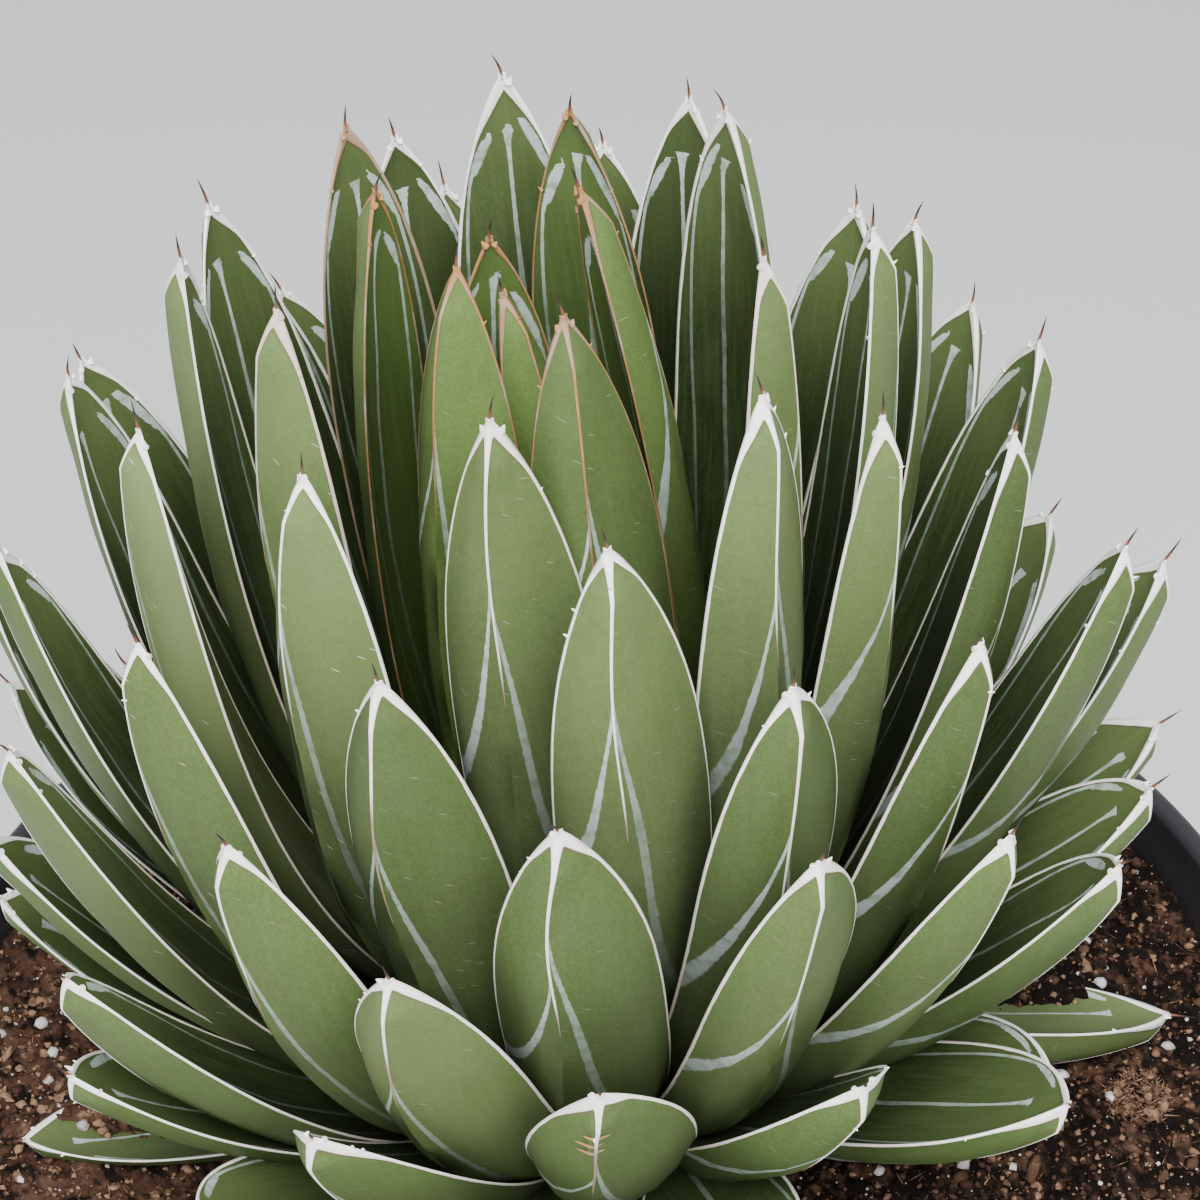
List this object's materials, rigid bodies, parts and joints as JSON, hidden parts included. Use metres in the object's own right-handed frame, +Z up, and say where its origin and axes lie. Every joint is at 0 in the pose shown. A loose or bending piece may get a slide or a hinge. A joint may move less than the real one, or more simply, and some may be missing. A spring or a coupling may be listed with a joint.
{
  "type": "potted queen victoria agave",
  "caption": "Round rosette of thick keeled agave leaves with white horny edges and dark spines, in a plain round plastic pot filled with soil.",
  "frame": {"origin": "centre of the pot's underside, where it rests", "axes": "+Z up through the pot, the plant's front toward -Y, +X to its right"},
  "size_m": [0.354, 0.354, 0.5431],
  "materials": {
    "leaf": "satin green skin with a thin blue-grey bloom, white horny edges and a dark spine",
    "stem": "satin green, paler in the heart",
    "soil": "rough dark peat and bark with white perlite grains",
    "pot": "dark grey plastic with a low sheen"
  },
  "bodies": {
    "root": {"leaf_06": "leaf", "leaf_07": "leaf", "leaf_08": "leaf", "leaf_09": "leaf", "leaf_10": "leaf", "leaf_11": "leaf", "leaf_12": "leaf", "leaf_13": "leaf", "leaf_14": "leaf", "leaf_15": "leaf", "leaf_16": "leaf", "leaf_17": "leaf", "leaf_18": "leaf", "leaf_19": "leaf", "leaf_20": "leaf", "leaf_21": "leaf", "leaf_22": "leaf", "leaf_23": "leaf", "leaf_24": "leaf", "leaf_25": "leaf", "leaf_26": "leaf", "leaf_27": "leaf", "leaf_28": "leaf", "leaf_29": "leaf", "leaf_30": "leaf", "leaf_31": "leaf", "leaf_32": "leaf", "leaf_33": "leaf", "leaf_34": "leaf", "leaf_35": "leaf", "leaf_36": "leaf", "leaf_37": "leaf", "leaf_38": "leaf", "leaf_39": "leaf", "leaf_40": "leaf", "leaf_41": "leaf", "leaf_42": "leaf", "leaf_43": "leaf", "leaf_44": "leaf", "leaf_45": "leaf", "leaf_46": "leaf", "leaf_47": "leaf", "leaf_48": "leaf", "leaf_49": "leaf", "leaf_50": "leaf", "leaf_51": "leaf", "leaf_52": "leaf", "leaf_53": "leaf", "leaf_54": "leaf", "leaf_55": "leaf", "leaf_56": "leaf", "leaf_57": "leaf", "leaf_58": "leaf", "leaf_59": "leaf", "leaf_60": "leaf", "leaf_61": "leaf", "leaf_62": "leaf", "stem": "stem", "soil": "soil", "pot": "pot"}
  },
  "joints": []
}
